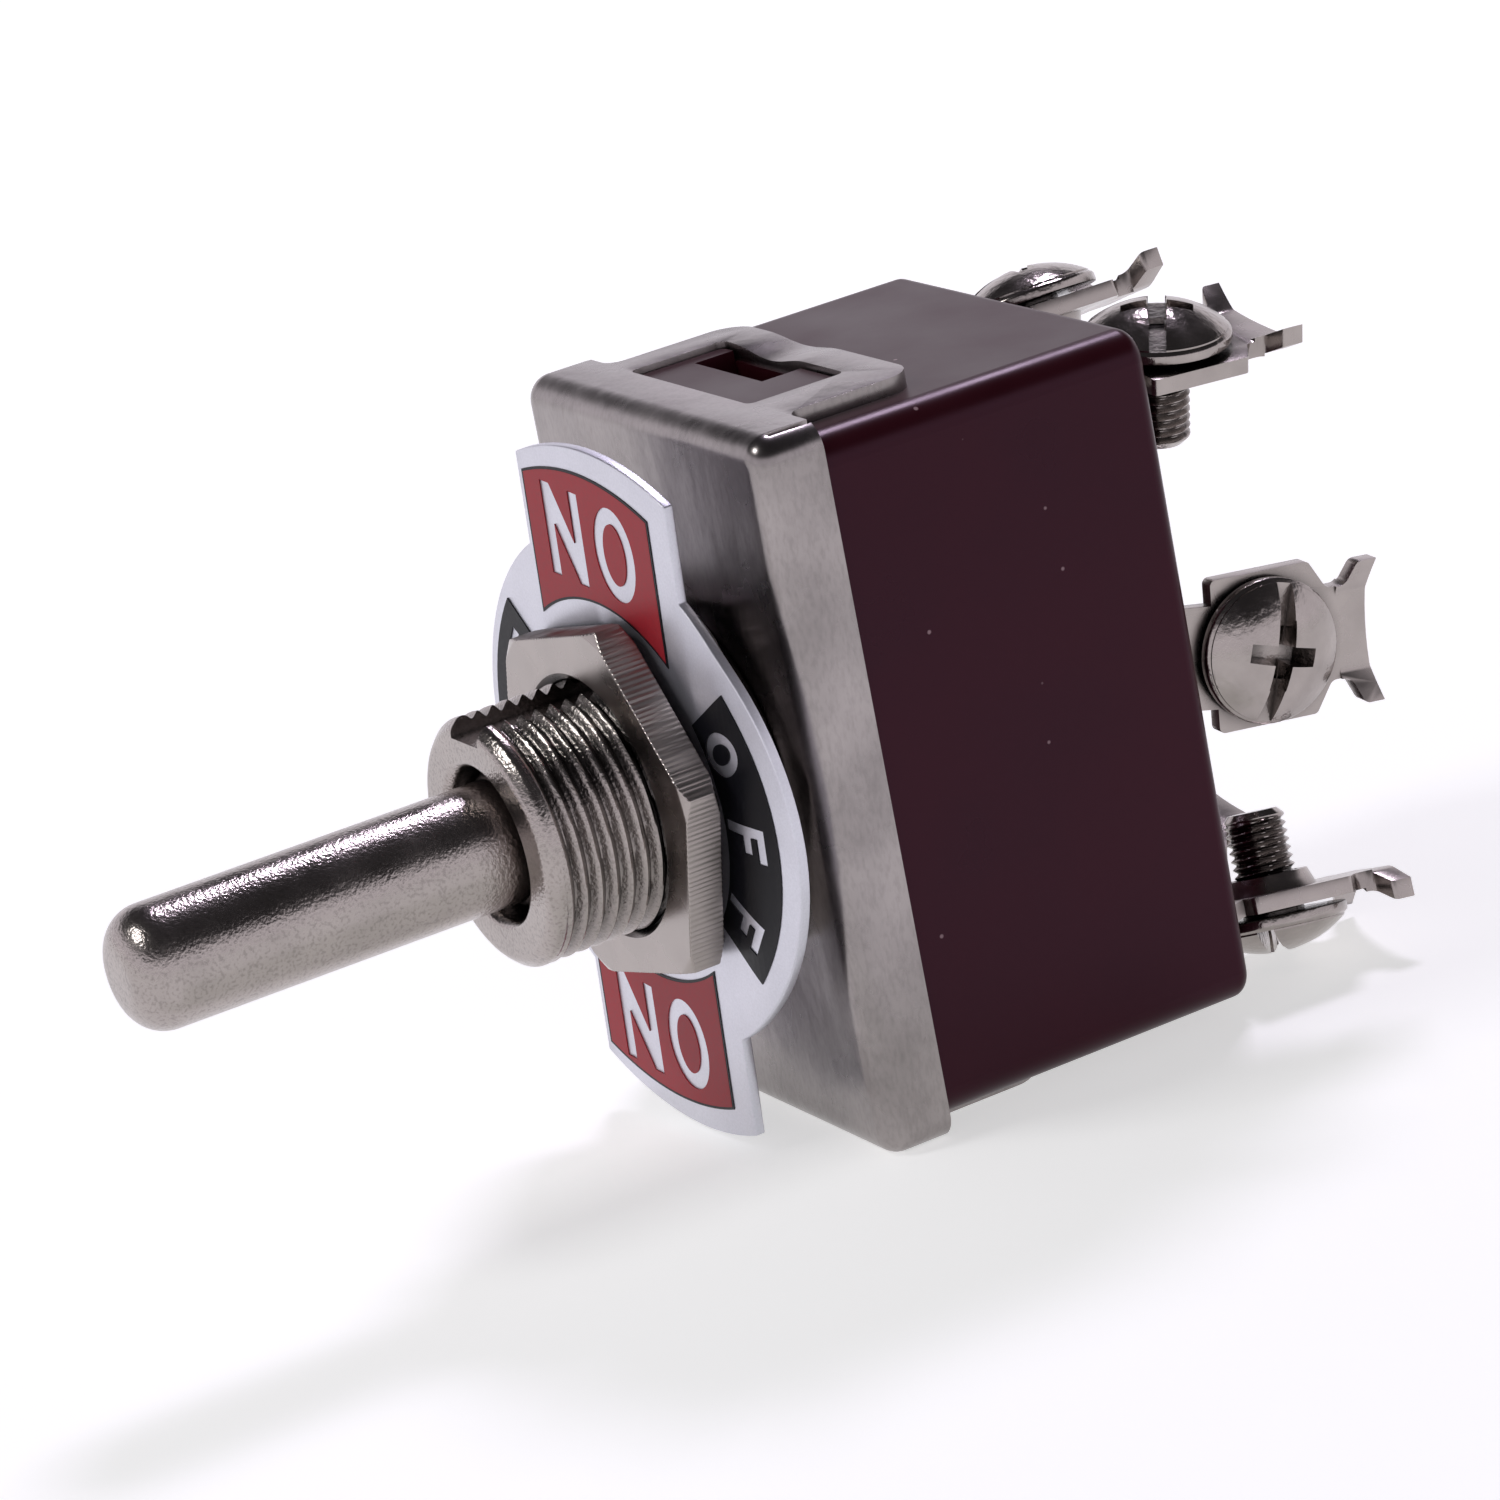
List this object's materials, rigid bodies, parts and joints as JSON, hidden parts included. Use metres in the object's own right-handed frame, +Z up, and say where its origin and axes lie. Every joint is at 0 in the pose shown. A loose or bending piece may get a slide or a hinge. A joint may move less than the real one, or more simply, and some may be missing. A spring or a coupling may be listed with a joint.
{
  "type": "panel toggle switch",
  "caption": "Panel toggle switch: rod lever in a threaded bushing with hex nuts and an on-off-on plate, folded metal bracket, phenolic case and screw terminals.",
  "frame": {"origin": "on the bushing's axis, in the bracket's front face, where a panel bears", "axes": "-Y along the bushing, the way the lever points; +Z up along the case's long side, the lever's line of travel; +X to the right as seen from the lever's end"},
  "size_m": [0.025, 0.0618, 0.0346],
  "materials": {
    "nickel": "polished",
    "nickel_brass": "polished",
    "brass": "satin",
    "phenolic": "satin",
    "fibre": "matte",
    "nylon": "satin",
    "aluminium": "satin",
    "red_print": "satin",
    "black_print": "satin",
    "copper": "satin",
    "silver": "satin",
    "spring_steel": "polished"
  },
  "bodies": {
    "housing": {"bracket": "nickel", "case": "phenolic", "bushing": "nickel_brass", "ball_retainer": "brass", "lock_washer": "nickel", "rear_nut": "nickel", "front_nut": "nickel", "indicator_plate": "aluminium", "on_fields": "red_print", "off_fields": "black_print", "insulator": "fibre", "fixed_contacts": "silver", "terminal_screws": "nickel", "terminal_upper_right": "nickel_brass", "terminal_upper_left": "nickel_brass", "terminal_middle_right": "nickel_brass", "terminal_middle_left": "nickel_brass", "terminal_lower_right": "nickel_brass", "terminal_lower_left": "nickel_brass"},
    "lever": {"lever": "nickel", "pivot_pin": "nickel", "carrier": "nylon", "spring_right": "spring_steel", "spring_left": "spring_steel"},
    "plunger_right": {"plunger_right": "nylon"},
    "plunger_left": {"plunger_left": "nylon"},
    "rocker_right": {"rocker_right": "copper", "moving_contacts_right": "silver"},
    "rocker_left": {"rocker_left": "copper", "moving_contacts_left": "silver"}
  },
  "joints": [
    {"name": "lever_pivot", "type": "hinge", "parent": "housing", "child": "lever", "pos_m": [0, -0.0082, 0], "axis": [1, 0, 0], "range_deg": [-11, 11]},
    {"name": "plunger_right_slide", "type": "slide", "parent": "lever", "child": "plunger_right", "axis": [0, -1, 0], "range_m": [0, 0.0008], "stiffness_N_per_m": 300, "springref_m": -0.002, "deforming": ["spring_right"]},
    {"name": "plunger_left_slide", "type": "slide", "parent": "lever", "child": "plunger_left", "axis": [0, -1, 0], "range_m": [0, 0.0008], "stiffness_N_per_m": 300, "springref_m": -0.002, "deforming": ["spring_left"]},
    {"name": "rocker_right_pivot", "type": "hinge", "parent": "housing", "child": "rocker_right", "pos_m": [0.0053, 0.0139, 0], "axis": [1, 0, 0], "range_deg": [-8.9, 8.9]},
    {"name": "rocker_left_pivot", "type": "hinge", "parent": "housing", "child": "rocker_left", "pos_m": [-0.0053, 0.0139, 0], "axis": [1, 0, 0], "range_deg": [-8.9, 8.9]}
  ],
  "couplings": [
    {"joint": "rocker_right_pivot", "follows": "lever_pivot", "ratio": -0.8},
    {"joint": "rocker_left_pivot", "follows": "lever_pivot", "ratio": -0.8}
  ]
}
